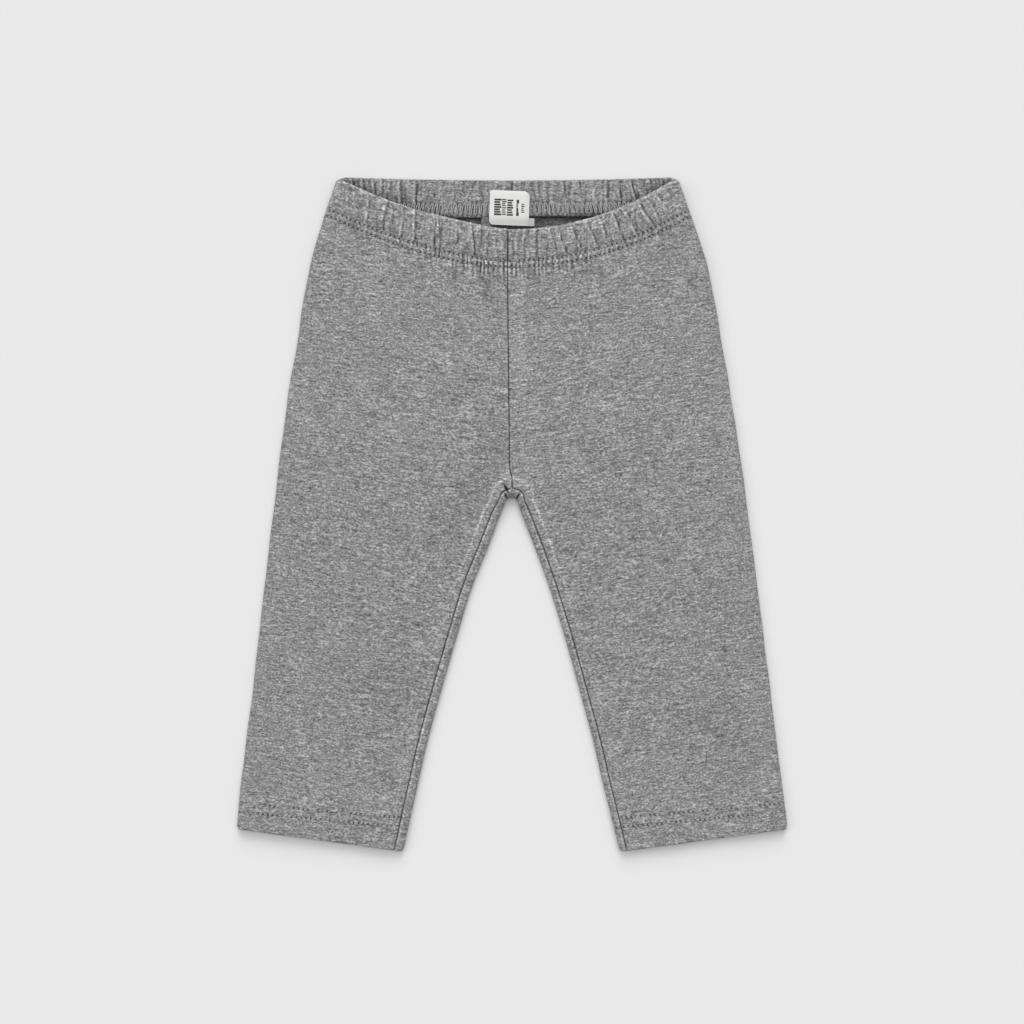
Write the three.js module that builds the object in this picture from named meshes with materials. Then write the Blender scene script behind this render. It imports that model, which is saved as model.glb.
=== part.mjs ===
// Baby leggings of grey melange jersey, laid flat with the front up.
// Millimetres. +X is the wearer's left, +Y runs from the hems to the waist, +Z is up from the surface.
// Each leg is one cut panel: it starts at the front seam, crosses the front, turns round the side
// fold, crosses the back, turns round the inner fold and ends at the same inseam, on the front.
import * as THREE from "three";

// Cloth thicknesses and clearances
const JERSEY = 1.2;
const CASING = 2.8; // two layers of jersey with the elastic between them
const HEM_LAYER = 1.0;
const LABEL_LAYER = 1.0;
const SEAM_GAP = 0.3;

// Main sizes of the laid garment
const WAIST_RIM_BACK = 188.4; // y of the back rim at its middle
const WAIST_CORNER = 190.1; // y of the rim at the side folds
const WAIST_RIM_FRONT = 161.6; // y of the front rim at its lowest point
const CASING_DEPTH = 21.5;
const HEM_DEPTH = 18;
const HEM_OUTER_Y = -177;
const CROTCH_Y = 9.3; // the fold of the crotch
const CROTCH_OUTER_Y = 12; // where the crotch's row meets the side fold
const CROTCH_SEAM_Y = 14.9; // where the four seams meet, on the front

// Distance of the side fold from the centre line, on the wearer's left and right
const SIDE_FOLD = [
  { y: 190, left: 93.2, right: 98.4 },
  { y: 182, left: 95.2, right: 101.8 },
  { y: 167, left: 100.8, right: 106.0 },
  { y: 144, left: 108.8, right: 112.8 },
  { y: 121, left: 113.9, right: 117.3 },
  { y: 98, left: 117.9, right: 120.8 },
  { y: 64, left: 123.6, right: 126.4 },
  { y: 8, left: 131.9, right: 133.6 },
  { y: -59, left: 140.4, right: 141.5 },
  { y: -104, left: 146.0, right: 146.6 },
  { y: -149, left: 151.7, right: 152.2 },
  { y: -177, left: 155.0, right: 155.0 },
];

// Distance of the inner fold of each leg from the centre line, from the hem up to the crotch
const INNER_FOLD = [
  { y: -189.6, left: 60.6, right: 61.2 },
  { y: -172, left: 56.4, right: 57.5 },
  { y: -149, left: 50.7, right: 52.4 },
  { y: -127, left: 45.7, right: 47.4 },
  { y: -104, left: 39.5, right: 41.2 },
  { y: -70, left: 30.1, right: 31.5 },
  { y: -41, left: 21.1, right: 22.6 },
  { y: -17, left: 12.3, right: 13.0 },
  { y: -3, left: 6.7, right: 7.8 },
  { y: 5, left: 3.9, right: 4.9 },
  { y: 8.6, left: 2.2, right: 2.8 },
  { y: CROTCH_Y, left: 0, right: 0 },
];

// Where the centre front seam lies, and the height from the back panel's middle to the front's
const FRONT_SEAM = [
  { y: 190, x: -2.3 },
  { y: 132, x: -2.3 },
  { y: 42, x: -1.4 },
  { y: 27, x: -1.2 },
  { y: 20, x: 0 },
  { y: 0, x: 0 },
];
const LOFT = [
  { y: -190, rise: 5.0 },
  { y: -172, rise: 5.0 },
  { y: -150, rise: 4.0 },
  { y: -60, rise: 3.6 },
  { y: 60, rise: 3.6 },
  { y: 110, rise: 4.0 },
  { y: 140, rise: 5.0 },
  { y: 167, rise: 5.1 },
];
const SIDES = {
  left: { sign: 1, inseamOffset: 4.4, rimPower: 2.0, rimOuterX: 93.6 },
  right: { sign: -1, inseamOffset: 5.4, rimPower: 1.5, rimOuterX: 98.6 },
};

// Soft folds and seam ridges of the front: middle, length along the lean, width across, height
const SOFT_FOLDS = [
  { x: -17, y: 128, long: 20, wide: 5, high: -0.9, lean: -0.32 },
  { x: 15.5, y: 125, long: 17, wide: 4, high: -0.6, lean: 0.08 },
  { x: 4.5, y: 96, long: 42, wide: 5, high: 0.5, lean: 0 },
  { x: -83, y: 127, long: 22, wide: 9, high: 0.5, lean: -0.2 },
  { x: -91, y: 144, long: 10, wide: 7, high: -0.5, lean: -0.6 },
  { x: 86, y: 148, long: 10, wide: 7, high: -0.6, lean: 0.9 },
  { x: 42, y: 136, long: 9, wide: 14, high: -0.4, lean: 0 },
  { x: -20, y: 18, long: 30, wide: 10, high: -0.6, lean: 0.45 },
  { x: -60, y: -98, long: 14, wide: 26, high: -0.4, lean: 0 },
  { x: 118, y: -120, long: 22, wide: 16, high: -0.4, lean: -0.3 },
];
const CENTRE_SAG = 0.5; // the front lies lower along the middle of the garment than at its folds

// Grid of a leg panel: segments across each stretch of its row, and rows
const FRONT_STEPS = 14;
const FOLD_STEPS = 5;
const BACK_STEPS = 8;
const INNER_STEPS = 4;
const STRIP_STEPS = 1;
const BACK_END = FRONT_STEPS + FOLD_STEPS + BACK_STEPS; // column where the crotch extension starts
const HEM_ROWS = 3;
const LEG_ROWS = 9;
const ARCH_ROWS = [16, 9.5, 5, 2.2, 0]; // distance along the inner fold below the crotch
const BODY_ROWS = 11;

// Gathers of the casing
const GATHERS_EACH_PANEL = 19; // on one half of the front, and as many on the back
const GATHER_SAMPLES = [1, 0.1, -1, 0.1]; // ripple height at the columns of one gather
const GATHER_HEIGHT = 0.45;
const CASING_FOLD_STEPS = 6;
const CASING_LOFT = 5.6; // between the middles of the back and front casing
const CASING_SAG = 0.3;

// A smooth curve through one column of a table, read at a value of its y column.
function through(table, column) {
  const rows = [...table].sort((a, b) => a.y - b.y);
  const slope = (i) => {
    const low = rows[Math.max(i - 1, 0)];
    const high = rows[Math.min(i + 1, rows.length - 1)];
    return (high[column] - low[column]) / (high.y - low.y);
  };
  return (y) => {
    const at = THREE.MathUtils.clamp(y, rows[0].y, rows.at(-1).y);
    const i = Math.min(rows.findIndex((r) => r.y >= at) || 1, rows.length - 1);
    const [a, b] = [rows[i - 1], rows[i]];
    const span = b.y - a.y;
    const t = (at - a.y) / span;
    const [t2, t3] = [t * t, t * t * t];
    return (
      a[column] * (2 * t3 - 3 * t2 + 1) +
      slope(i - 1) * span * (t3 - 2 * t2 + t) +
      b[column] * (3 * t2 - 2 * t3) +
      slope(i) * span * (t3 - t2)
    );
  };
}

const frontSeamX = through(FRONT_SEAM, "x");
const loft = through(LOFT, "rise");
const mix = THREE.MathUtils.lerp;

// The height of one soft fold at a point of the front.
function foldHeight({ x, y, long, wide, high, lean }, px, py) {
  const along = py - y;
  const across = px - x - lean * along;
  return high * Math.exp(-((along / long) ** 2) - (across / wide) ** 2);
}

// Middle of the front layer above the surface, for the leg panels.
function frontZ(x, y, share) {
  const folds = SOFT_FOLDS.reduce((sum, fold) => sum + foldHeight(fold, x, y), 0);
  const nearFold = Math.min(1, (1 - share) * 5);
  return JERSEY / 2 + loft(y) - CENTRE_SAG * (1 - share * share) + folds * nearFold;
}

// Height of the rim and of the casing's lower edge over their lowest point, from centre (0) to side (1).
function frontRimY(side, share) {
  return WAIST_RIM_FRONT + (WAIST_CORNER - 0.8 - WAIST_RIM_FRONT) * share ** side.rimPower;
}
function frontLowerY(side, share) {
  const low = WAIST_RIM_FRONT - CASING_DEPTH;
  return low + (WAIST_CORNER - CASING_DEPTH - 1.4 - low) * share ** side.rimPower;
}
const BACK_LOWER_Y = WAIST_RIM_BACK - CASING_DEPTH + 0.6;

// One point of a cloth's middle surface, with the direction that its outer face looks.
const knot = (x, y, z, normal) => ({
  place: new THREE.Vector3(x, y, z),
  normal,
});
const DOWN = new THREE.Vector3(0, 0, -1);

// The half turn of a fold, from underside to top or back, around the middle (x, y) towards (dx, dy).
function turn(x, y, dx, dy, low, high, steps, upward) {
  const radius = (high - low) / 2;
  return Array.from({ length: steps - 1 }, (_, i) => {
    const swing = ((i + 1) / steps - 0.5) * Math.PI * (upward ? 1 : -1);
    const [out, up] = [Math.cos(swing), Math.sin(swing)];
    return knot(
      x + dx * radius * out,
      y + dy * radius * out,
      low + radius * (1 + up),
      new THREE.Vector3(dx * out, dy * out, up),
    );
  });
}

// The front, side fold and back of one row of a leg panel.
function acrossRow(side, start, outerY, curve, backEnd) {
  const { sign } = side;
  const outer = through(SIDE_FOLD, side === SIDES.left ? "left" : "right")(outerY);
  const low = JERSEY / 2;
  const high = low + loft(outerY);
  const turnX = sign * (outer - JERSEY / 2 - (high - low) / 2);
  const row = [];
  for (let i = 0; i <= FRONT_STEPS; i++) {
    const share = i / FRONT_STEPS;
    const x = mix(start.x, turnX, share);
    const y = mix(start.y, outerY, share ** curve);
    row.push(knot(x, y, i === FRONT_STEPS ? high : frontZ(x, y, share)));
  }
  row.push(...turn(turnX, outerY, sign, 0, low, high, FOLD_STEPS, false));
  for (let i = 0; i <= BACK_STEPS; i++) {
    const share = i / BACK_STEPS;
    row.push(knot(mix(turnX, backEnd.x, share), mix(outerY, backEnd.y, share), low, DOWN));
  }
  return row;
}

// The inner fold as a plan curve from the hem to the crotch.
function innerFold(side) {
  const column = side === SIDES.left ? "left" : "right";
  const points = INNER_FOLD.map((row) => new THREE.Vector2(side.sign * row[column], row.y));
  return new THREE.SplineCurve(points);
}

// A row of the leg's tube, at a distance along the inner fold below the crotch.
function tubeRow(side, fold, below) {
  const { sign } = side;
  const long = fold.getLength();
  const along = 1 - below / long;
  const tip = fold.getPointAt(along);
  const tangent = fold.getTangentAt(along);
  const atCrotch = below === 0;
  const out = atCrotch
    ? new THREE.Vector2(0, -1)
    : new THREE.Vector2(-sign * tangent.y, sign * tangent.x);
  const crotchOffset = CROTCH_SEAM_Y - CROTCH_Y;
  const offset = mix(crotchOffset, side.inseamOffset, Math.min(1, below / 20));
  const seam = tip.clone().addScaledVector(out, -offset);
  const outerY = mix(HEM_OUTER_Y, CROTCH_OUTER_Y, along);
  const low = JERSEY / 2;
  const high = frontZ(seam.x, seam.y, 0);
  const radius = (high - low) / 2;
  const middle = tip.clone().addScaledVector(out, -(radius + JERSEY / 2));
  const half = SEAM_GAP / 2;
  const front = seam.clone().addScaledVector(out, -half);
  const strip = seam.clone().addScaledVector(out, half);
  if (atCrotch) {
    middle.x = sign * half;
    strip.x = middle.x;
    front.x = middle.x;
  }
  const row = acrossRow(side, front, outerY, 1, middle);
  row.push(...turn(middle.x, middle.y, out.x, out.y, low, high, INNER_STEPS, true));
  for (let i = 0; i <= STRIP_STEPS; i++) {
    const share = i / STRIP_STEPS;
    row.push(knot(mix(middle.x, strip.x, share), mix(middle.y, strip.y, share), high));
  }
  return row;
}

// A row of the body, from just above the crotch (0) to the casing (1).
function bodyRow(side, share) {
  const half = (side.sign * SEAM_GAP) / 2;
  const top = frontLowerY(side, 0) - SEAM_GAP;
  const frontY = mix(CROTCH_SEAM_Y + SEAM_GAP / 2, top, share);
  const outerY = mix(CROTCH_OUTER_Y, frontLowerY(side, 1) - SEAM_GAP, share);
  const backY = mix(CROTCH_OUTER_Y, BACK_LOWER_Y - SEAM_GAP, share);
  const start = new THREE.Vector2(frontSeamX(frontY) + half, frontY);
  return acrossRow(side, start, outerY, side.rimPower, new THREE.Vector2(half, backY));
}

// All rows of one leg panel, from the hem up. Rows above the crotch have no crotch extension.
function legRows(side) {
  const fold = innerFold(side);
  const long = fold.getLength();
  const rows = [];
  for (let i = 0; i < HEM_ROWS; i++) {
    rows.push(tubeRow(side, fold, long - (HEM_DEPTH * i) / HEM_ROWS));
  }
  for (let i = 0; i < LEG_ROWS; i++) {
    rows.push(tubeRow(side, fold, mix(long - HEM_DEPTH, ARCH_ROWS[0], i / LEG_ROWS)));
  }
  ARCH_ROWS.forEach((below) => rows.push(tubeRow(side, fold, below)));
  for (let i = 1; i <= BODY_ROWS; i++) {
    rows.push(bodyRow(side, i / BODY_ROWS));
  }
  return rows;
}

// Triangles of a grid whose upper rows may be shorter than its lower ones.
function gridTriangles(rows) {
  const starts = [];
  rows.reduce((sum, row, i) => ((starts[i] = sum), sum + row.length), 0);
  const triangles = [];
  for (let r = 0; r + 1 < rows.length; r++) {
    const cells = Math.min(rows[r].length, rows[r + 1].length) - 1;
    for (let c = 0; c < cells; c++) {
      const [a, b] = [starts[r] + c, starts[r + 1] + c];
      triangles.push([a, a + 1, b + 1], [a, b + 1, b]);
    }
  }
  return triangles;
}

// Adds the averaged face direction to each knot that doesn't state its own.
function fillNormals(knots, triangles) {
  const sums = knots.map(() => new THREE.Vector3());
  for (const [a, b, c] of triangles) {
    const ab = knots[b].place.clone().sub(knots[a].place);
    const ac = knots[c].place.clone().sub(knots[a].place);
    const face = ab.cross(ac);
    [a, b, c].forEach((i) => sums[i].add(face));
  }
  knots.forEach((k, i) => (k.normal ??= sums[i].normalize()));
}

// A closed wall around a middle surface, between two offsets along its outward normals.
function wall(rows, outward, inner, outer) {
  const knots = rows.flat();
  const triangles = gridTriangles(rows).map(([a, b, c]) => (outward ? [a, b, c] : [a, c, b]));
  fillNormals(knots, triangles);
  const count = knots.length;
  const at = (offset) => knots.map((k) => k.place.clone().addScaledVector(k.normal, offset));
  const points = [...at(outer), ...at(inner)];
  const faces = [];
  const edges = new Map();
  for (const [a, b, c] of triangles) {
    faces.push([a, b, c], [a + count, c + count, b + count]);
    for (const [p, q] of [[a, b], [b, c], [c, a]]) {
      if (!edges.delete(`${q},${p}`)) edges.set(`${p},${q}`, [p, q]);
    }
  }
  for (const [p, q] of edges.values()) {
    faces.push([q, p, p + count], [q, p + count, q + count]);
  }
  return geometryOf(points, faces);
}

function geometryOf(points, faces) {
  const geometry = new THREE.BufferGeometry().setFromPoints(points);
  geometry.setIndex(faces.flat());
  geometry.computeVertexNormals();
  return geometry;
}

// Columns run from the centre outwards, so the wearer's right is the mirror of the left.
const outwardOn = (side) => side.sign > 0;

const legGeometry = (side) =>
  wall(legRows(side), outwardOn(side), -JERSEY / 2, JERSEY / 2);

// The turned-up hem lies on the inside of the panel, so it is made from the panel's own rows.
function hemGeometry(side) {
  const rows = legRows(side);
  fillNormals(
    rows.flat(),
    gridTriangles(rows).map(([a, b, c]) => (outwardOn(side) ? [a, b, c] : [a, c, b])),
  );
  const outer = -JERSEY / 2 - SEAM_GAP;
  return wall(rows.slice(0, HEM_ROWS + 1), outwardOn(side), outer - HEM_LAYER, outer);
}

// Uneven spacing of the gathers, as a share of the panel's width.
const gatherShare = (share) =>
  share + 0.011 * Math.sin(19 * share + 1) * Math.sin(Math.PI * share) +
  0.004 * Math.sin(47 * share) * Math.sin(Math.PI * share);

// Height of the ripple at a column: each gather is a little different from the next.
function gatherHeight(column) {
  const gather = Math.floor(column / GATHER_SAMPLES.length);
  const strength = 0.72 + 0.28 * Math.sin(2.4 * gather + 0.6);
  return GATHER_HEIGHT * strength * GATHER_SAMPLES[column % GATHER_SAMPLES.length];
}

// Columns of one half of the casing, from the centre front round the side to the centre back.
function casingColumns(side) {
  const { sign } = side;
  const outer = through(SIDE_FOLD, sign > 0 ? "left" : "right");
  const half = (sign * SEAM_GAP) / 2;
  const low = CASING / 2;
  const high = low + CASING_LOFT;
  const radius = CASING_LOFT / 2;
  const lowerTurnX = sign * (outer(frontLowerY(side, 1)) - radius - CASING / 2);
  const rimTurnX = sign * (side.rimOuterX - radius - CASING / 2);
  const steps = GATHERS_EACH_PANEL * GATHER_SAMPLES.length;
  const columns = [];
  for (let i = 0; i <= steps; i++) {
    const share = gatherShare(i / steps);
    const fade = Math.min(1, (1 - share) * 12);
    const z = high - CASING_SAG * (1 - share * share);
    const ripple = gatherHeight(i) * fade;
    columns.push({
      rim: [mix(frontSeamX(WAIST_RIM_FRONT) + half, rimTurnX, share), frontRimY(side, share)],
      lower: [mix(frontSeamX(WAIST_RIM_FRONT) + half, lowerTurnX, share), frontLowerY(side, share)],
      z,
      normal: [0, 0, 1],
      outerRipple: ripple,
      innerRipple: ripple,
    });
  }
  for (let i = 1; i < CASING_FOLD_STEPS; i++) {
    const share = i / CASING_FOLD_STEPS;
    const swing = (0.5 - share) * Math.PI;
    const [out, up] = [Math.cos(swing), Math.sin(swing)];
    columns.push({
      rim: [rimTurnX + sign * radius * out, WAIST_CORNER - 0.8 - 1.6 * out + 0.8 * share],
      lower: [lowerTurnX + sign * radius * out, mix(frontLowerY(side, 1), BACK_LOWER_Y, share)],
      z: low + radius * (1 + up),
      normal: [sign * out, 0, up],
      outerRipple: 0,
      innerRipple: 0,
    });
  }
  for (let i = 0; i <= steps; i++) {
    const share = gatherShare(1 - i / steps);
    const fade = Math.min(1, (1 - share) * 12);
    columns.push({
      rim: [mix(half, rimTurnX, share), mix(WAIST_RIM_BACK, WAIST_CORNER, share * share)],
      lower: [mix(half, lowerTurnX, share), BACK_LOWER_Y],
      z: low,
      normal: [0, 0, -1],
      outerRipple: 0,
      innerRipple: -gatherHeight(steps - i) * fade,
    });
  }
  return columns;
}

// Section of the casing from its lower edge over the rim: share of the depth, share of half the wall.
const CASING_SECTION = [
  { depth: 0, wall: 1, face: "outerRipple", ripple: 0.5 },
  { depth: 0.5, wall: 1, face: "outerRipple", ripple: 1 },
  { depth: 0.94, wall: 0.95, face: "outerRipple", ripple: 0.9 },
  { depth: 1, wall: 0.4, face: "outerRipple", ripple: 0.5 },
  { depth: 1, wall: -0.4, face: "innerRipple", ripple: 0.5 },
  { depth: 0.94, wall: -0.95, face: "innerRipple", ripple: 0.9 },
  { depth: 0.5, wall: -1, face: "innerRipple", ripple: 1 },
  { depth: 0, wall: -1, face: "innerRipple", ripple: 0.5 },
];

// The casing is a closed section carried along its columns and capped at both centre seams.
function casingGeometry(side) {
  const columns = casingColumns(side);
  const ring = CASING_SECTION.length;
  const points = columns.flatMap((column) =>
    CASING_SECTION.map(({ depth, wall: share, face, ripple }) => {
      const offset = (share * CASING) / 2 + column[face] * ripple;
      const [nx, ny, nz] = column.normal;
      return new THREE.Vector3(
        mix(column.lower[0], column.rim[0], depth) + nx * offset,
        mix(column.lower[1], column.rim[1], depth) + ny * offset,
        column.z + nz * offset,
      );
    }),
  );
  const faces = [];
  const add = (a, b, c) => faces.push(outwardOn(side) ? [a, b, c] : [a, c, b]);
  for (let i = 0; i + 1 < columns.length; i++) {
    for (let j = 0; j < ring; j++) {
      const next = (j + 1) % ring;
      const [a, b] = [i * ring + j, i * ring + next];
      add(a, a + ring, b + ring);
      add(a, b + ring, b);
    }
  }
  const last = (columns.length - 1) * ring;
  for (let j = 1; j + 1 < ring; j++) {
    add(0, j, j + 1);
    add(last, last + j + 1, last + j);
  }
  return geometryOf(points, faces);
}

// A flat tab with its own corner radii, in the order bottom left, bottom right, top right, top left.
function tabGeometry(width, height, radii, thick) {
  const corners = [
    [0, 0, Math.PI],
    [width, 0, 1.5 * Math.PI],
    [width, height, 0],
    [0, height, 0.5 * Math.PI],
  ];
  const outline = new THREE.Shape();
  corners.forEach(([x, y, from], i) => {
    const r = radii[i];
    const [cx, cy] = [x === 0 ? r : x - r, y === 0 ? r : y - r];
    outline.absarc(cx, cy, r, from, from + Math.PI / 2);
  });
  return new THREE.ExtrudeGeometry(outline, {
    depth: thick,
    bevelEnabled: false,
    curveSegments: 5,
  });
}

// The label lies on the crests of the back casing; the tab hangs below the casing's lower edge.
const LABEL = { x: -12.5, y: 163.3, width: 22.6, height: 19.4, turn: -0.035 };
const LABEL_RADII = [2.2, 0.9, 3.4, 1.2];
const TAB = { x: 2.4, y: 162.5, width: 10.2, height: 4.4, rise: 2.1 };
const TAB_RADII = [0.5, 0.5, 0.5, 0.5];

const GREY_MELANGE = { color: "#929292", roughness: 0.95, metalness: 0 };
const WHITE_SATIN = { color: "#ececec", roughness: 0.6, metalness: 0 };
const PALE_GREY = { color: "#b4b4b2", roughness: 0.7, metalness: 0 };

function piece(name, geometry, look) {
  const mesh = new THREE.Mesh(geometry, new THREE.MeshStandardMaterial(look));
  mesh.name = name;
  return mesh;
}

const leggings = new THREE.Group();
for (const [name, side] of Object.entries(SIDES)) {
  leggings.add(
    piece(`leg_${name}`, legGeometry(side), GREY_MELANGE),
    piece(`hem_${name}`, hemGeometry(side), GREY_MELANGE),
    piece(`casing_${name}`, casingGeometry(side), GREY_MELANGE),
  );
}

const label = piece(
  "label",
  tabGeometry(LABEL.width, LABEL.height, LABEL_RADII, LABEL_LAYER),
  WHITE_SATIN,
);
label.position.set(LABEL.x, LABEL.y, CASING + GATHER_HEIGHT + SEAM_GAP);
label.rotation.z = LABEL.turn;
const tab = piece(
  "label_tab",
  tabGeometry(TAB.width, TAB.height, TAB_RADII, LABEL_LAYER),
  PALE_GREY,
);
tab.position.set(TAB.x, TAB.y, TAB.rise);
leggings.add(label, tab);

export default leggings;
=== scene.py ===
# %% [markdown]
# ## Baby leggings, laid flat
# The garment lies on a table with its front up, seen from straight above. Its solids come packed
# from the CAD step as a fixed frame in metres. Each solid is replaced here by a finer piece of
# cloth that lies in the same place, so the collision model stays true to what is seen.

# %% Load the frame
import math

import bpy
import numpy as np
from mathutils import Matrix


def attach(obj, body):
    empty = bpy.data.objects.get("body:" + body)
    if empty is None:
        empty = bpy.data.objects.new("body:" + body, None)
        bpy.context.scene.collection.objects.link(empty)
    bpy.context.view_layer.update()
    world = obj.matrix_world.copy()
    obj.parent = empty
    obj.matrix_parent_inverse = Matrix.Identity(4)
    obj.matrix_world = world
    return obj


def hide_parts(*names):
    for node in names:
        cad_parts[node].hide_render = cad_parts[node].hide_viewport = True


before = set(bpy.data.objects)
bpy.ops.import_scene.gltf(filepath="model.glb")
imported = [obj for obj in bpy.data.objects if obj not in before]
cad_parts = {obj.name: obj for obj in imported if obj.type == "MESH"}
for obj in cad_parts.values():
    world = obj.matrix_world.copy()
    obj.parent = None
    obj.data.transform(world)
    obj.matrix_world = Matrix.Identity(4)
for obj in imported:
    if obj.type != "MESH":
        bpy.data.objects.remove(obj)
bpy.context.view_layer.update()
MM = 0.001

# %% [markdown]
# ## The cut in numbers
# A garment is measured along its folds and seams. These short tables are those of the CAD part, in
# millimetres: the side folds, the inner fold of each leg, the centre front seam and the height of
# the front over the back. A smooth curve runs through each table, as a tailor's French curve does.

# %% Sizes of the laid garment
# Heights of the rim: centre back, side, centre front
RIM_BACK, RIM_CORNER, RIM_FRONT = 188.4, 190.1, 161.6
CASING_DEPTH, RIM_ROUND = 21.5, 1.3
HEM_DEPTH = 20.5
HEM_OUTER_Y = -177.0
CROTCH_Y, CROTCH_OUTER_Y, CROTCH_SEAM_Y = 9.3, 12.0, 14.9
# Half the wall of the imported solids, the real thickness of the cloth, and the gap at each seam
HALF_WALL, JERSEY, SEAM_GAP = 0.6, 0.7, 0.22
STITCH = 2.65
FOLD_Y = (190, 182, 167, 144, 121, 98, 64, 8, -59, -104, -149, -177)
INNER_Y = (-189.6, -172, -149, -127, -104, -70, -41, -17, -3, 4.5, 8.0, 9.2, CROTCH_Y)
# rim_ and edge_ shape the upper and lower edge of the front casing, which differ on the two sides
SIDES = {
    "left": dict(
        sign=1,
        fold=(93.2, 95.2, 100.8, 108.8, 113.9, 117.9, 123.6, 131.9, 140.4, 146.0, 151.7, 155.0),
        inner=(60.6, 56.4, 50.7, 45.7, 39.5, 30.1, 21.1, 12.3, 6.7, 4.0, 2.8, 1.9, 0),
        inseam=4.1, seam_near=0.3, rim_power=2.1, rim_rise=0.0, rim_outer=93.6,
        edge_power=2.1, edge_outer=166.0, back_lower=168.2,
    ),
    "right": dict(
        sign=-1,
        fold=(98.4, 101.8, 106.0, 112.8, 117.3, 120.8, 126.4, 133.6, 141.5, 146.6, 152.2, 155.0),
        inner=(61.2, 57.5, 52.4, 47.4, 41.2, 31.5, 22.6, 13.0, 7.8, 4.8, 3.2, 2.1, 0),
        inseam=5.15, seam_near=0.1, rim_power=1.6, rim_rise=1.4, rim_outer=98.6,
        edge_power=1.71, edge_outer=167.2, back_lower=167.3,
    ),
}


def smooth_curve(where, values):
    """A function through (where, value) stops, sloped at each stop like the line past it."""
    order = np.argsort(where)
    y, v = np.array(where, float)[order], np.array(values, float)[order]
    low = np.maximum(np.arange(len(y)) - 1, 0)
    high = np.minimum(np.arange(len(y)) + 1, len(y) - 1)
    slope = (v[high] - v[low]) / (y[high] - y[low])

    def at(place):
        place = np.clip(place, y[0], y[-1])
        i = np.clip(np.searchsorted(y, place), 1, len(y) - 1)
        span = y[i] - y[i - 1]
        t = (place - y[i - 1]) / span
        start = v[i - 1] * (2 * t**3 - 3 * t**2 + 1) + slope[i - 1] * span * (t**3 - 2 * t**2 + t)
        return start + v[i] * (3 * t**2 - 2 * t**3) + slope[i] * span * (t**3 - t**2)

    return at


front_seam_x = smooth_curve((190, 132, 42, 27, 20, 0), (-2.4, -2.4, -1.5, -1.3, 0, 0))
loft = smooth_curve((-190, -172, -150, -60, 60, 110, 140, 167), (5, 5, 4, 3.6, 3.6, 4, 5.2, 5.4))
print("side fold at the knee:", float(smooth_curve(FOLD_Y, SIDES["left"]["fold"])(-60)), "mm")

# %% [markdown]
# ## Folds that a hand would leave
# Laid cloth is never quite flat. The main soft folds are placed where they show, each with
# its own middle, length, width, height and lean. On top of them comes a slow, uneven wave: a sum of
# sine waves in many directions, which gives the same surface on every run.

# %% Soft folds of the front
SOFT_FOLDS = (
    # x, y, length, width, height, lean
    (-14.5, 131, 13, 3.6, -0.9, -0.3),
    (13, 131, 14, 3.4, -0.7, -0.15),
    (4.5, 96, 42, 5, 0.5, 0),
    (-83, 127, 22, 9, 0.5, -0.2),
    (-91, 144, 10, 7, -0.5, -0.6),
    (86, 148, 10, 7, -0.6, 0.9),
    (42, 136, 9, 14, -0.4, 0),
    (-20, 18, 30, 10, -0.6, 0.45),
    (-60, -98, 14, 26, -0.4, 0),
    (118, -120, 22, 16, -0.4, -0.3),
)
# Small tucks where the four seams meet at the crotch; their darkness is painted shade
TUCKS = (
    (-3.3, 14.8, 2.6, 0.7, 1.7, -0.5),
    (-3.4, 10.8, 1.7, 0.6, 1.7, -0.5),
    (3.1, 10.1, 1.8, 0.6, 1.7, 0.48),
    (-1.2, 11.5, 1.6, 0.45, 0.4, 0.1),
    (1.0, 11.8, 1.6, 0.45, 0.35, 0.2),
)


def soft_folds(x, y, folds=SOFT_FOLDS):
    """The sum of all the folds: negative heights are dips."""
    total = np.zeros_like(x)
    for fold_x, fold_y, length, width, height, lean in folds:
        along = y - fold_y
        across = x - fold_x - lean * along
        total += height * np.exp(-((along / length) ** 2) - (across / width) ** 2)
    return total


def crotch_bulk(x, y):
    """Four seam allowances meet at the crotch and raise the cloth a little."""
    return 3.4 * np.exp(-(np.hypot(x, y - 11) / 16) ** 2)


def slow_wave(x, y, size, seed):
    """A smooth uneven field of about unit height, with bumps of the given size in millimetres."""
    rng = np.random.default_rng(seed)
    total = np.zeros(np.broadcast(x, y).shape)
    for _ in range(22):
        angle = rng.uniform(0, math.pi)
        turns = 2 * math.pi / (size * rng.uniform(0.7, 1.6))
        phase = rng.uniform(0, 2 * math.pi)
        total += np.sin((x * math.cos(angle) + y * math.sin(angle)) * turns + phase)
    return total / math.sqrt(11)


# %% [markdown]
# ## Gathers
# The waist casing is cut wider than its elastic, so it stands in gathers. Each gather is a soft
# ridge, with sharper creases between the gathers. They are uneven: each has its own height and
# its own middle along the depth of the casing, they lean, and some run on below the stitches. Each
# height comes with a painted shade, which the cloth's material reads: the creases are painted dark,
# as little light gets into them, and the crests get a painted highlight.

# %% Height of the gathers
GATHERS = 19
_spread = np.linspace(0, 1, 400)
_even = _spread + np.sin(math.pi * _spread) * (
    0.011 * np.sin(19 * _spread + 1) + 0.004 * np.sin(47 * _spread)
)
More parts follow.
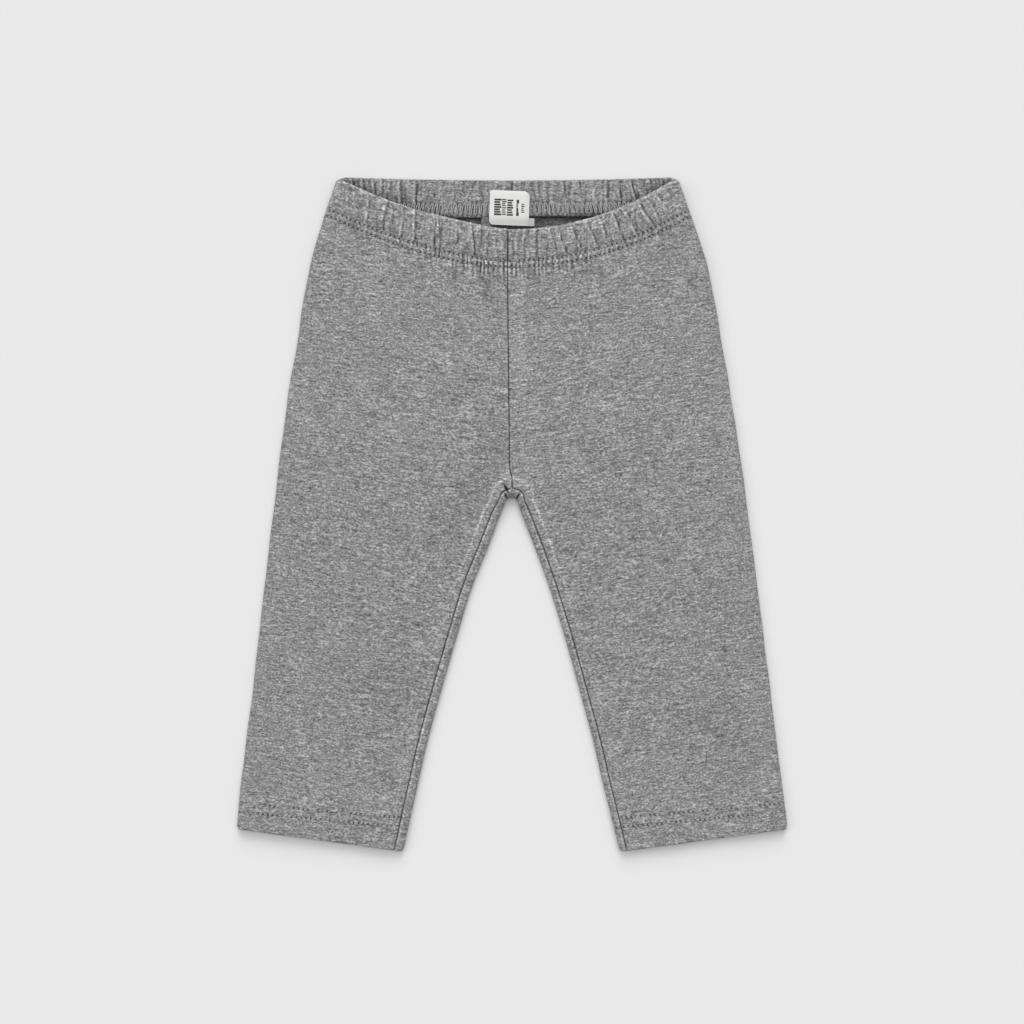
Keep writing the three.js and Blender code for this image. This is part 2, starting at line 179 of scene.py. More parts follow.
# The strongest creases: distance from the centre seam at the rim and at the stitches, height,
# and the depths between which each one runs, all in millimetres
CREASES = {
    ("front", 1): (
        (16, 14, 0.8, 0, 20), (23, 27, 0.6, 0, 19), (27, 33, 0.7, 0, 24), (35, 41, 0.8, 0, 24),
        (43, 50, 0.7, 0, 18), (50, 56, 0.9, 0, 13), (57, 65, 1.0, 1, 22), (63, 73, 0.8, 0, 18),
        (72, 82, 1.1, 0, 24), (76, 87, 0.7, 0, 17), (81, 92, 0.6, 1, 14), (87, 94, 0.6, 0, 9),
        (9, 8, 0.5, 4, 26), (4.5, 4, 0.5, 8, 27),
    ),
    ("front", -1): (
        (88, 91, 0.5, 1, 12), (78, 80, 0.5, 1, 16), (68, 71, 0.8, 0, 18), (64, 67, 0.4, 0, 14),
        (58.5, 61, 0.8, 0, 18), (51.5, 54, 1.1, 1, 21), (47, 50, 0.5, 6, 24), (41.5, 42, 0.8, 0, 20),
        (39, 39.5, 0.7, 1, 20), (29.5, 28, 0.8, 0, 22), (27.5, 26, 0.5, 1, 22), (20, 20, 1.0, 0, 27),
        (15, 18, 0.7, 0, 14), (11.5, 12, 0.6, 3, 27), (6.5, 7, 0.5, 0, 26), (3, 3, 0.5, 6, 27),
    ),
    ("back", 1): (
        (28, 31, 0.9, 0, 14), (52, 54, 0.7, 0, 13), (59, 62, 0.7, 0, 12), (66, 71, 1.0, 0, 13),
        (76, 79, 0.8, 0, 13), (83, 86, 0.9, 0, 8), (88, 90, 0.9, 0, 5), (37, 38, 0.4, 1, 13),
        (13, 15, 0.4, 1, 13), (45, 46, 0.4, 0, 9),
    ),
    ("back", -1): (
        (19, 19, 0.5, 0, 13), (55, 54, 0.7, 0, 14), (63, 63, 0.6, 3, 14), (69, 68, 0.4, 0, 12),
        (74, 73, 0.8, 0, 14), (79, 77, 0.7, 0, 14), (85, 84, 1.0, 0, 12), (91, 88, 1.1, 0, 9),
        (33, 34, 0.4, 2, 14), (45, 45, 0.5, 0, 12),
    ),
}


def bell(x, width):
    return np.exp(-((x / width) ** 2))


def gathers(panel, sign, share, across, depth):
    """Height over the plain cloth in millimetres, and painted light from -1, painted shade in a deep
    fold, to 1, a painted highlight on a pale crest.

    share is the part of the panel's width from the centre seam, across the same in millimetres.
    """
    seed = (3 if panel == "front" else 8) + sign
    phase = GATHERS * np.interp(share, _even, _spread)
    phase = phase + (1.5 if sign > 0 else -0.6) * share * (depth - 10) / CASING_DEPTH
    phase = phase + 0.16 * slow_wave(90 * share, depth, 14, seed)
    number = np.round(phase)
    beat = phase - number
    strength = 0.6 + 0.4 * np.sin(2.4 * number + 0.6 + seed)
    middle = 10 + 7 * np.sin(1.7 * number + 2 * seed)
    length = 10 + 5 * np.sin(3.1 * number + seed)
    fade = strength * bell(np.maximum(np.abs(depth - middle) - 0.5 * length, 0), 5.5)
    height = 0.5 * ((0.5 + 0.5 * np.cos(2 * math.pi * beat)) ** 0.8 - 0.4) * (0.15 + 0.85 * fade)
    shade = fade * (0.55 * bell(beat + 0.25, 0.12) - 0.85 * bell(np.abs(beat) - 0.5, 0.1))
    for at_rim, at_rows, high, first, last in CREASES[panel, sign]:
        middle = at_rim + (at_rows - at_rim) * depth / 19 + 0.5 * np.sin(depth / 4 + at_rim)
        off = sign * (across - middle)
        run = np.clip((depth - first + 1.5) / 3, 0, 1) * np.clip((last + 2 - depth) / 4, 0, 1)
        run = run * np.clip(0.85 + 0.4 * slow_wave(depth, across, 6, int(9 * at_rim)), 0.2, 1.15)
        height = height + 0.85 * high * run * (bell(off, 0.9) - 0.7 * bell(off - 1.6, 0.8))
        shade = shade + high * run * (1.1 * bell(off + 0.1, 0.6) - 1.35 * bell(off - 1.25, 0.5))
    fine = slow_wave(across, 0.13 * depth, 2.7, seed + 20)
    height, shade = height + 0.08 * fine, shade + 0.14 * fine
    # Between the two stitch rows each stitch draws up one small pleat of its own, with painted shade
    # and highlight
    rows = 19.4 if panel == "front" else 17.0
    wander = 1.3 * slow_wave(across, 0, 9, seed)
    pleat = np.cos(2 * math.pi * across / STITCH + wander)
    lower = depth - rows - 0.8
    reach = 2.3 + (0.9 + 4.5 * bell(share, 0.35)) * (lower > 0) if panel == "front" else 3.2
    uneven = np.clip(0.7 + 0.3 * slow_wave(across, depth, 12, seed + 1), 0.35, 1)
    near_rows = uneven * bell(lower if panel == "front" else depth - rows, reach)
    deep = 0.55 + 1.2 * bell(share, 0.38) if panel == "front" else 1.0
    return height + 0.42 * pleat * near_rows, shade + deep * pleat * near_rows


# %% [markdown]
# ## From a grid to a panel
# A cut panel is a sheet, so it starts as Blender's grid primitive. Its points are then laid where
# the cloth runs, row by row. It gets two UV maps, both of the flat cloth at its real size: the
# knit's pattern follows UVMap, and the needle holes follow StitchUV, which counts along the rows of
# stitches. Solidify gives the sheet the thickness of jersey, inwards from the face.

# %% Helper that lays a grid
def lay_grid(name, places, flat, outwards, thick=JERSEY, spare=None, stitch_uv=None, inside=None):
    """places are [row, column, xyz and perhaps a painted value], flat [row, column, uv], in
    millimetres.
    The painted value is painted shade and highlight on cloth, and print with painted shade on the
    label.

    spare marks the points that are cut away, and inside is more painted shade for the inner face
    alone.
    """
    along, across = places.shape[0] - 1, places.shape[1] - 1
    bpy.ops.object.select_all(action="DESELECT")
    bpy.ops.mesh.primitive_grid_add(x_subdivisions=across, y_subdivisions=along, size=1)
    panel = bpy.context.object
    panel.name = panel.data.name = name
    mesh = panel.data
    start = np.empty(len(mesh.vertices) * 3)
    mesh.vertices.foreach_get("co", start)
    start = start.reshape(-1, 3)
    column = np.rint((start[:, 0] + 0.5) * across).astype(int)
    row = np.rint((start[:, 1] + 0.5) * along).astype(int)
    mesh.vertices.foreach_set("co", (places[row, column, :3] * MM).ravel())
    # The fourth value is painted light: painted shade and highlights on the cloth, print and painted
    # shade on the label
    if places.shape[2] > 3:
        shade = mesh.attributes.new("painted_light_and_print", "FLOAT", "POINT")
        shade.data.foreach_set("value", np.clip(places[row, column, 3], -1.5, 1.2))
    if inside is not None:
        within = mesh.attributes.new("inside", "FLOAT", "POINT")
        within.data.foreach_set("value", inside[row, column])
    corners = np.empty(len(mesh.loops), int)
    mesh.loops.foreach_get("vertex_index", corners)
    mesh.uv_layers.active.name = "UVMap"
    mesh.uv_layers["UVMap"].data.foreach_set("uv", (flat[row, column][corners] * MM).ravel())
    if stitch_uv is not None:
        layer = mesh.uv_layers.new(name="StitchUV")
        layer.data.foreach_set("uv", (stitch_uv[row, column][corners] * MM).ravel())
        mesh.uv_layers.active_index = 0
    bpy.ops.object.mode_set(mode="EDIT")
    if spare is not None:
        bpy.ops.mesh.select_mode(type="VERT")
        bpy.ops.mesh.select_all(action="DESELECT")
        bpy.ops.object.mode_set(mode="OBJECT")
        mesh.vertices.foreach_set("select", spare[row, column])
        bpy.ops.object.mode_set(mode="EDIT")
        bpy.ops.mesh.delete(type="VERT")
    if not outwards:
        bpy.ops.mesh.select_all(action="SELECT")
        bpy.ops.mesh.flip_normals()
    bpy.ops.object.mode_set(mode="OBJECT")
    if thick:
        wall = panel.modifiers.new("wall", "SOLIDIFY")
        wall.thickness = thick * MM
        wall.offset = -1
        bpy.ops.object.modifier_apply(modifier="wall")
    if inside is not None:
        # The second half of the wall's points is its inner face
        seen, hidden = np.empty((2, len(mesh.vertices)))
        mesh.attributes["painted_light_and_print"].data.foreach_get("value", seen)
        mesh.attributes["inside"].data.foreach_get("value", hidden)
        hidden[: len(hidden) // 2] = 0
        mesh.attributes["painted_light_and_print"].data.foreach_set("value", np.clip(seen + hidden, -1.5, 1.2))
        mesh.attributes.remove(mesh.attributes["inside"])
    bpy.ops.object.shade_smooth()
    print(name, len(panel.data.polygons), "faces")
    return panel


# %% [markdown]
# ## One leg, cut in one piece
# Each leg is a single panel with no side seam. It starts at the front seam, crosses the front,
# turns round the side fold, crosses the back, turns round the inner fold and comes back to the same
# inseam on the front. Above the crotch there is no inner fold, so those corners of the grid are cut
# away. The hem is folded in, so its first rows roll through half a turn.

# %% Rows of a leg
# Columns stand closer beside the seam, to carry its groove: these are shares of the front's width
NEAR_SEAM = (0, 0.0018, 0.0036, 0.0058, 0.0088, 0.013, 0.0175, 0.022, 0.026, 0.03, 0.034, 0.038)
NEAR_SEAM += (0.043, 0.049)
FRONT_SHARE = np.concatenate([NEAR_SEAM, np.linspace(0.057, 1, 92)])
STRIP_SHARE = np.array([0, 0.28, 0.5, 0.65, 0.75, 0.83, 0.9, 0.95, 1.0])
FRONT, FOLD, BACK, INNER, STRIP = len(FRONT_SHARE) - 1, 10, 48, 12, 8
BACK_END = FRONT + FOLD + BACK
TUBE_ROWS, BODY_ROWS = 142, 116
BODY_LENGTH = 141
# The hem runs this far across and down, and the knitted courses run along it
HEM_RUN = (94.1, 12.6)
# The hem's edge is a fold of this radius, in this many steps
HEM_ROLL, HEM_STEPS = 0.72, 5
# Its stitches run this much lower at the side fold than at the inner fold
HEM_LEAN = 2.6
HEM_LEAN_AT = (0, FRONT, FRONT + FOLD, BACK_END), (0, 1, 1, 0)


def inner_fold(side):
    """The inner fold in plan, as points, directions and distances from the hem."""
    stops = np.stack([side["sign"] * np.array(side["inner"]), np.array(INNER_Y)], 1)
    last = len(stops) - 1
    t = np.linspace(0, last, 3000)
    i = np.minimum(t.astype(int), last - 1)
    w = (t - i)[:, None]
    before, after = stops[np.maximum(i - 1, 0)], stops[np.minimum(i + 2, last)]
    a, b = stops[i], stops[i + 1]
    bend_a, bend_b = (b - before) / 2, (after - a) / 2
    line = (2 * a - 2 * b + bend_a + bend_b) * w**3
    line += (3 * b - 3 * a - 2 * bend_a - bend_b) * w**2 + bend_a * w + a
    steps = np.hypot(*np.diff(line, axis=0).T)
    return line, np.gradient(line, axis=0), np.concatenate([[0], np.cumsum(steps)])


def seam_relief(distance):
    """The cloth dips to its seam and is a little proud beside it."""
    return 0.2 * bell(distance - 1.7, 0.9) - 0.5 * bell(distance, 0.42)


def half_turn(x, y, out_x, out_y, radius, steps, downwards):
    """Points of a fold round (x, y), bulging towards (out_x, out_y), without its two ends."""
    swing = (np.arange(1, steps) / steps - 0.5) * math.pi * (-1 if downwards else 1)
    height = (1 + np.sin(swing)) * radius
    reach = radius * np.cos(swing)
    return np.stack([x + out_x * reach, y + out_y * reach, height, 0 * height], 1)


def cross_row(side, start, outer_y, curve, back_end, hem, ridge, body):
    """Front, side fold and back of one row. hem is the distance above the hem's edge."""
    sign = side["sign"]
    outer = side["fold_at"](outer_y) + 0.12 * slow_wave(outer_y, 0.0, 30, 5 + sign)
    outer = outer - 1.1 * np.exp(-((hem / 1.5) ** 2))
    rise = loft(outer_y)
    turn_x = sign * (outer - HALF_WALL - rise / 2)
    share = FRONT_SHARE
    x = start[0] + (turn_x - start[0]) * share
    y = start[1] + (outer_y - start[1]) * share**curve
    near = np.minimum(1, (1 - share) * 5)
    folds = soft_folds(x, y) * near
    z = 2 * HALF_WALL + loft(y) - 0.5 * (1 - share**2) + folds
    z += (0.22 * slow_wave(x, y, 26, 1) + 0.1 * slow_wave(x, y, 10, 2)) * near
    tucked = soft_folds(x, y, TUCKS)
    z += crotch_bulk(x, y) - tucked
    distance = np.abs(x - start[0])
    # The edge of the seam allowance inside runs beside the inseam and over the crotch in an arc
    edge = np.hypot(x, y - 8.5) - 12.0 if start[1] > 8.5 else distance - 4.5
    z += seam_relief(distance) + ridge * 0.8 * bell(edge, 1.3)
    z += 0.22 * np.clip((HEM_DEPTH + 1 - hem) / 2.5, 0, 1) * near
    # Painted highlight along the ridge of the seam allowance; the seam itself is a dark line
    shade = ridge * (0.4 * bell(edge + 0.4, 1.6) + 1.0 * bell(edge, 0.55))
    # A thin painted highlight beside the seam, and painted shade in the tucks
    shade = shade - 1.0 * bell(distance, 0.22) + 0.2 * bell(distance - 0.9, 0.35) - 1.6 * tucked
    # Painted light: the front is painted a little paler towards the waist, the soft folds' dips are
    # painted dark and their rises pale
    shade = shade + 0.07 * np.clip(y / 60, 0, 1) + 0.4 * folds
    if body is not None:
        more, darker = body(share, distance)
        z, shade = z + more, shade + darker
    z[-1] = 2 * HALF_WALL + rise
    top = np.stack([x, y, z, shade], 1)
    turn = half_turn(turn_x, outer_y, sign, 0, rise / 2 + HALF_WALL, FOLD, True)
    share = np.linspace(0, 1, BACK + 1)
    x = turn_x + (back_end[0] - turn_x) * share
    y = outer_y + (back_end[1] - outer_y) * share
    lift = np.maximum(0, 0.22 * slow_wave(x, y, 24, 7)) * np.sin(math.pi * share)
    return np.concatenate([top, turn, np.stack([x, y, lift, 0 * x], 1)])


# Distance from the inner fold to the inseam, at distances below the crotch
crotch_strip = smooth_curve(
    (0, 1, 2.2, 3.6, 6, 10, 18, 60), (5.6, 5.4, 4.8, 4.0, 4.0, 4.4, 4.8, 4.8)
)


def tube_row(side, below):
    """A row of the leg, at a distance along the inner fold below the crotch."""
    sign, line, heading, far = side["sign"], *side["inner_line"]
    along = 1 - below / far[-1]
    tip = np.array([np.interp(far[-1] - below, far, line[:, k]) for k in (0, 1)])
    turned = np.array([np.interp(far[-1] - below, far, heading[:, k]) for k in (0, 1)])
    turned /= np.hypot(*turned)
    out = np.array([0.0, -1.0]) if below == 0 else sign * np.array([-turned[1], turned[0]])
    offset = float(crotch_strip(below)) + (side["inseam"] - 4.8) * min(1, below / 50)
    offset += side["seam_near"] * math.exp(-((below / 40) ** 2))
    seam = tip - out * offset
    outer_y = HEM_OUTER_Y + (CROTCH_OUTER_Y - HEM_OUTER_Y) * along
    rise = loft(seam[1]) - 0.5 + crotch_bulk(*seam)
    radius = rise / 2 + HALF_WALL
    middle = tip - out * (radius + 0.8 * math.exp(-(((far[-1] - below) / 1.5) ** 2)))
    front, strip = seam - out * SEAM_GAP / 2, seam + out * SEAM_GAP / 2
    if below == 0:
        middle[0] = strip[0] = front[0] = sign * SEAM_GAP / 2
        side["back_start"] = middle[1]
    hem = far[-1] - below
    ridge = 0.2 + 0.75 * math.exp(-((below / 50) ** 2))
    row = cross_row(side, front, outer_y, 1, middle, hem, ridge, None)
    turn = half_turn(*middle, *out, radius, INNER, False)
    # Painted shade in the tucks where they reach over the inner fold
    tucked = soft_folds(turn[:, 0], turn[:, 1], TUCKS) * np.clip(turn[:, 2] / radius - 0.4, 0, 1)
    turn[:, 2] -= 0.7 * tucked
    turn[:, 3] -= 1.6 * tucked
    plan = middle + (strip - middle) * STRIP_SHARE[:, None]
    gap = np.hypot(*(strip - plan).T)
    tucked = soft_folds(*plan.T, TUCKS)
    level = radius * 2 + seam_relief(gap) - tucked
    # On the strip: a painted highlight beside the seam's dark line, painted shade towards the inner
    # fold and in the tucks
    shade = 0.95 * bell(gap - 0.95, 0.34) - 0.9 * bell(gap, 0.2) - 0.15 * bell(gap - 4, 1.5)
    shade = shade - 1.6 * tucked
    return np.concatenate([row, turn, np.column_stack([plan, level, shade])])


# %% [markdown]
# ## Where the leg meets the casing
# The lower stitch row of the casing pinches the leg's top edge. The gathers run on into the leg and
# die away within about ten millimetres, some sooner and some later.

# %% Body rows above the crotch
def front_rim_y(side, share):
    """The rim of the front in plan, from the centre seam, share 0, to the side fold, share 1."""
    plain = RIM_FRONT - 1.4 + (RIM_CORNER - 1.6 - RIM_FRONT) * share ** side["rim_power"]
    return plain + side["rim_rise"] * bell(share - 0.31, 0.25)


def front_lower_y(side, share):
    """The edge where the front casing meets the leg."""
    low = RIM_FRONT - 22.8
    return low + (side["edge_outer"] - low) * share ** side["edge_power"]


def body_row(side, climb, lift):
    """A row above the crotch, at climb 0, up to the casing, at 1, whose height lift meets."""
    half = side["sign"] * SEAM_GAP / 2
    front_y = CROTCH_SEAM_Y + SEAM_GAP / 2
    front_y += (front_lower_y(side, 0) - front_y) * climb
    outer_y = CROTCH_OUTER_Y + (front_lower_y(side, 1) - CROTCH_OUTER_Y) * climb
    back_y = side["back_start"] + (side["back_lower"] - side["back_start"]) * climb
    below = (1 - climb) * (front_lower_y(side, 0) - CROTCH_SEAM_Y)

    def pinch(share, distance):
        rise = 0.15 * bell(distance - 4.5, 1.4)
        ridges, shade = gathers("front", side["sign"], share, distance, CASING_DEPTH + below)
        fade = bell(below, 9) * np.minimum(1, (1 - share) * 12)
        return rise + ridges * fade + lift * bell(below, 6), shade * fade

    start = (float(front_seam_x(front_y)) + half, front_y)
    end, curve = (half, back_y), side["edge_power"]
    row = cross_row(side, start, outer_y, curve, end, hem=math.inf, ridge=0.7, body=pinch)
    # The casing's edge lies higher on the back than on the front: the side fold climbs to it
    hang = (side["back_lower"] - side["edge_outer"]) * climb**6
    row[FRONT : FRONT + FOLD + 1, 1] += hang * np.linspace(0, 1, FOLD + 1)
    row[FRONT + FOLD + 1 :, 1] += hang * np.linspace(1, 0, BACK + 1)[1:]
    return row


def turned_edge(places, spare, v, sign):
    """Rolls the first row inwards through half a turn, which is the folded edge of the hem."""
    row = places[0, :, :3]
    along = places[1, :, :3] - row
    along /= np.linalg.norm(along, axis=1, keepdims=True)
    normal = sign * np.cross(np.gradient(row, axis=0), along)
    normal /= np.linalg.norm(normal, axis=1, keepdims=True)
    swing = np.linspace(math.pi, 0, HEM_STEPS, endpoint=False)[:, None, None]
    edge = row - HEM_ROLL * ((1 - np.cos(swing)) * normal + np.sin(swing) * along)
    # Painted shade: the rolled edge is painted darker as it turns under
    shade = places[0, :, 3:] - 0.15 * (1 - np.cos(swing))
    places = np.concatenate([np.concatenate([edge, shade], 2), places])
    spare = np.concatenate([np.repeat(spare[:1], HEM_STEPS, 0), spare])
    return places, spare, np.concatenate([v[0] - HEM_ROLL * swing[:, 0, 0], v])


def leg_panel(name, side):
    sign = side["sign"]
    side["inner_line"] = inner_fold(side)
    long = side["inner_line"][2][-1]
    # Rows stand closer near the crotch, where they fan out
    stops = ((long - HEM_ROLL, 6, TUBE_ROWS - 38), (6, 4.2, 5), (4.2, 0.7, 27))
    below = [np.linspace(*stop, endpoint=False) for stop in stops]
    below = np.concatenate([*below, np.linspace(0.7, 0, 6)])
    climb = np.arange(1, BODY_ROWS + 1) / BODY_ROWS
    climb = 0.35 * climb + 0.65 * (0.5 - 0.5 * np.cos(climb * math.pi))
    rows = [tube_row(side, b) for b in below]
    casing_share, casing_z = side["border"]
    miss = np.interp(FRONT_SHARE, casing_share, casing_z)
    miss -= body_row(side, 1.0, 0.0)[: FRONT + 1, 2]
    miss[-1] = 0
    rows += [body_row(side, c, miss) for c in climb]
    width = max(len(row) for row in rows)
    places = np.stack([np.pad(row, ((0, width - len(row)), (0, 0)), mode="edge") for row in rows])
    # Near the crotch the rows of the back crowd together, so each is kept just below the next
    step = 0.03 * np.arange(len(rows))[:, None]
    back = places[::-1, FRONT + FOLD : BACK_END + 1, 1] - step[::-1]
    places[:, FRONT + FOLD : BACK_END + 1, 1] = np.minimum.accumulate(back)[::-1] + step
    spare = np.array([[c >= len(row) for c in range(width)] for row in rows])
    v = np.concatenate([long - below, long + climb * BODY_LENGTH])
    places, spare, v = turned_edge(places, spare, v, sign)
    # The row map counts along each row and up from the hem: stitches follow it
    length = np.linalg.norm(np.diff(places[:, :, :3], axis=1), axis=2)
    u = np.concatenate([np.zeros((len(v), 1)), np.cumsum(length * 0.985, axis=1)], axis=1)
    side["leg_rows"], side["leg_v"], side["leg_u"] = places, v, u
    side["hem_lean"] = HEM_LEAN * np.interp(np.arange(u.shape[1]), *HEM_LEAN_AT)
    stitch_uv = np.stack([sign * u, v[:, None] + side["hem_lean"]], 2)
    # The cloth map is the leg's own plan, turned so that the knitted courses run along the hem
    course = np.array([sign * HEM_RUN[0], HEM_RUN[1]]) / math.hypot(*HEM_RUN)
    wale = np.array([-sign * course[1], sign * course[0]])
    step = np.diff(places[:, :, :2] @ course, axis=1)
    step[:, FRONT : FRONT + FOLD] = length[:, FRONT : FRONT + FOLD]
    step[:, FRONT + FOLD : BACK_END] *= -1
    step[:, BACK_END:] = length[:, BACK_END:]
    cloth_u = np.cumsum(np.concatenate([places[:, :1, :2] @ course, step], axis=1), axis=1)
    cloth_v = places[:, :, :2] @ wale
    cloth_v[:, BACK_END:] = cloth_v[:, BACK_END : BACK_END + 1]
    cloth_v[:HEM_STEPS] = cloth_v[HEM_STEPS] + (v[:HEM_STEPS] - v[HEM_STEPS])[:, None]
    # Painted shade: inside, the back is painted darker towards the waist opening, where little light
    # gets down to it
    y = places[:, :, 1]
    inside = -1.0 * np.clip((y - 150) / 8, 0, 1) - 0.4 * bell(y - 168, 2.2)
    inside[:, : FRONT + FOLD] = 0
    cloth_uv = np.stack([sign * cloth_u, cloth_v], 2)
    width, height = u[HEM_STEPS + TUBE_ROWS - 1, -1], v[-1]
    print(name, "cut", round(float(width)), "mm wide at the crotch,", round(float(height)), "long")
    return lay_grid(name, places, cloth_uv, sign > 0, JERSEY, spare, stitch_uv, inside)


# %% [markdown]
# ## The waist casing
# The top of the leg is turned in over the elastic and held by twin rows of stitches. One closed
# strip per half runs from the stitches up the outside, over the rim and down the inside. Short
# tables give the height of its outer face and its thickness at each depth below the rim. Both are
# pinched at the stitches, and the gathers are added outwards.

# %% Section of the casing
front_height = smooth_curve(
    (0, 3, 8, 12, 14.5, 16.3, 17.2, 17.7, 18.2, 19.4, 20.6, 21.2, 21.5),
    (9.3, 9.3, 9.1, 8.7, 8.2, 7.5, 7.0, 6.85, 7.0, 7.25, 7.0, 6.65, 6.6),
)
front_wall = smooth_curve((0, 10, 18, 21.5), (2.6, 2.7, 1.9, 1.5))
back_wall = smooth_curve((0, 8, 13, 16, 21, 21.5), (2.7, 2.8, 2.5, 2.2, 2.0, 1.9))
OUTER_STEPS, RIM_STEPS, INNER_STEPS = 30, 7, 24
STEPS_PER_GATHER, CASING_FOLD = 14, 14
# The flat depth of each face, and how much closer its outer rows stand near the stitches
FLAT_DEPTH, CROWDING = CASING_DEPTH - RIM_ROUND, 1.2


def casing_section():
    """Depth below the rim, and how far through the casing's wall each point of the section is."""
    outer = CASING_DEPTH - FLAT_DEPTH * np.linspace(0, 1, OUTER_STEPS) ** CROWDING
    swing = np.linspace(0, math.pi, RIM_STEPS + 2)[1:-1]
    inner = RIM_ROUND + FLAT_DEPTH * np.linspace(0, 1, INNER_STEPS)
    depth = np.concatenate([outer, RIM_ROUND - RIM_ROUND * np.sin(swing), inner])
    swing = 0.5 - 0.5 * np.cos(swing)
    return depth, np.concatenate([np.zeros(OUTER_STEPS), swing, np.ones(INNER_STEPS)])


def casing_strip(name, side):
    sign = side["sign"]
    depth, through = casing_section()
    height = front_height(depth)
    outer_rim, outer_low = side["rim_outer"], side["fold_at"](front_lower_y(side, 1))
    turn_x = sign * (outer_rim + (outer_low - outer_rim) * depth / CASING_DEPTH - height / 2)
    share = np.linspace(0, 1, GATHERS * STEPS_PER_GATHER + 1)
    column, row = share[None, :], depth[:, None]
    edge = np.minimum(1, (1 - column) * 12)
    inside, high, wide = through[:, None], height[:, None], turn_x[:, None]
    rim_row = OUTER_STEPS + RIM_STEPS // 2

    front_x = front_seam_x(RIM_FRONT) + sign * SEAM_GAP / 2

    def face(panel, seam_x, rim_y, low_y, level, outer):
        """One flat side of the casing: level gives its height, and outer is 1 on the seen face."""
        across = column * np.abs(wide - seam_x)
        bump, shade = (edge * part for part in gathers(panel, sign, column, across, row))
        dip = 0.7 * bell(across, 0.7)
        rim_y = rim_y + 0.45 * bump[rim_row : rim_row + 1]
        x = seam_x + (wide - seam_x) * column
        y = rim_y + (low_y - rim_y) * row / CASING_DEPTH
        shade = outer * (shade - 1.3 * bell(across, 0.5))
        if panel == "front":
            # Painted highlight along the rim, where the gathers' painted shade is weakened
            shade = shade * (1 - 0.6 * bell(row, 1.2)) + 0.5 * bell(row - 0.8, 1.0)
        else:
            # Painted shade: the back is painted darker where it runs under the front, as little
            # light gets in
            part = np.clip(np.abs(x - front_x) / np.abs(wide - front_x), 0, 1)
            over = y - front_rim_y(side, part)
            over = bell(np.maximum(over, 0), 3.4 + 2.2 * column**2)
            shade = shade - outer * (0.2 + (0.6 + 0.15 * column) * over)
            # Painted shade: dark slots between the loops of the looper thread, over a darkened band
            slot = np.cos(2 * math.pi * (across / STITCH - 0.24))
            shade = shade - outer * (0.25 + 0.6 * np.maximum(slot, -0.2)) * bell(row - 16.4, 2.7)
            # Painted shade in two dark lines, along the top of the ladder and along the casing's
            # lower edge
            shade = shade - outer * (0.35 * bell(row - 13.4, 0.6) + 0.5 * bell(row - 20.6, 0.9))
        return np.stack([x, y, level(bump, dip), shade], 2)

    def front_level(bump, dip):
        sag = (0.3 + 0.2 * row / CASING_DEPTH) * (1 - column**2)
        plain = high - sag - front_wall(row) * inside
        return plain + (1 - inside) * (bump - dip) + inside * 0.25 * bump

    def back_level(bump, dip):
        below = 0.3 * np.maximum(0, 0.5 - bump)
        return np.maximum(0, (1 - inside) * below + inside * (back_wall(row) + bump - dip))

    front_edges = front_rim_y(side, column), front_lower_y(side, column)
    front = face("front", front_x, *front_edges, front_level, 1 - inside)
    back_rim = RIM_BACK + (RIM_CORNER - RIM_BACK) * column**2
    back = face("back", sign * SEAM_GAP / 2, back_rim, side["back_lower"], back_level, inside)
    turn = []
    for t in np.arange(1, CASING_FOLD) / CASING_FOLD:
        out, up = math.cos((0.5 - t) * math.pi), math.sin((0.5 - t) * math.pi)
        reach = height / 2 - (front_wall(depth) * (1 - t) + back_wall(depth) * t) * through
        rim_y = front_rim_y(side, 1) * (1 - t) + RIM_CORNER * t - 0.3 * out**3
        edge_y = front_lower_y(side, 1) * (1 - t) + side["back_lower"] * t
        x = turn_x + sign * out * reach
        y = rim_y + (edge_y - rim_y) * depth / CASING_DEPTH
        turn.append(np.column_stack([x, y, height / 2 + up * reach, 0 * y]))
    places = np.concatenate([front, np.stack(turn, 1), back[:, ::-1]], axis=1)
    # Both maps of the casing measure along the upper stitch row, and by height on the side fold
    stitch_row = int(np.argmin(np.abs(depth[:OUTER_STEPS] - 18.0)))
    steps = np.diff(places[stitch_row, :, :3], axis=0)
    steps[: len(share) - 1, 2] = 0
    steps[len(share) + CASING_FOLD - 1 :, 2] = 0
    u = np.concatenate([[0], np.cumsum(np.linalg.norm(steps, axis=1))])
    v = np.where(np.arange(len(depth)) < rim_row, 400 - depth, 400 + depth)
    flat = np.stack(np.broadcast_arrays(sign * u, v[:, None]), 2)
    side["casing"], side["casing_u"], side["casing_depth"] = places, u, depth
    side["border"] = share, places[0, : len(share), 2]
    print(name, "length round one half", round(float(u[-1])), "mm")
    return lay_grid(name, places, flat, sign > 0, stitch_uv=flat)


pieces = {}
for word, side in SIDES.items():
    side["fold_at"] = smooth_curve(FOLD_Y, side["fold"])
    pieces[f"casing_{word}"] = casing_strip(f"jersey_casing_{word}", side)
for word, side in SIDES.items():
    pieces[f"leg_{word}"] = leg_panel(f"jersey_leg_{word}", side)

# %% [markdown]
# ## Turned-up hems
# The hem allowance lies inside the leg, so it is made from the leg's own rows, moved inwards along
# the cloth. It only shows when one looks into the leg opening.

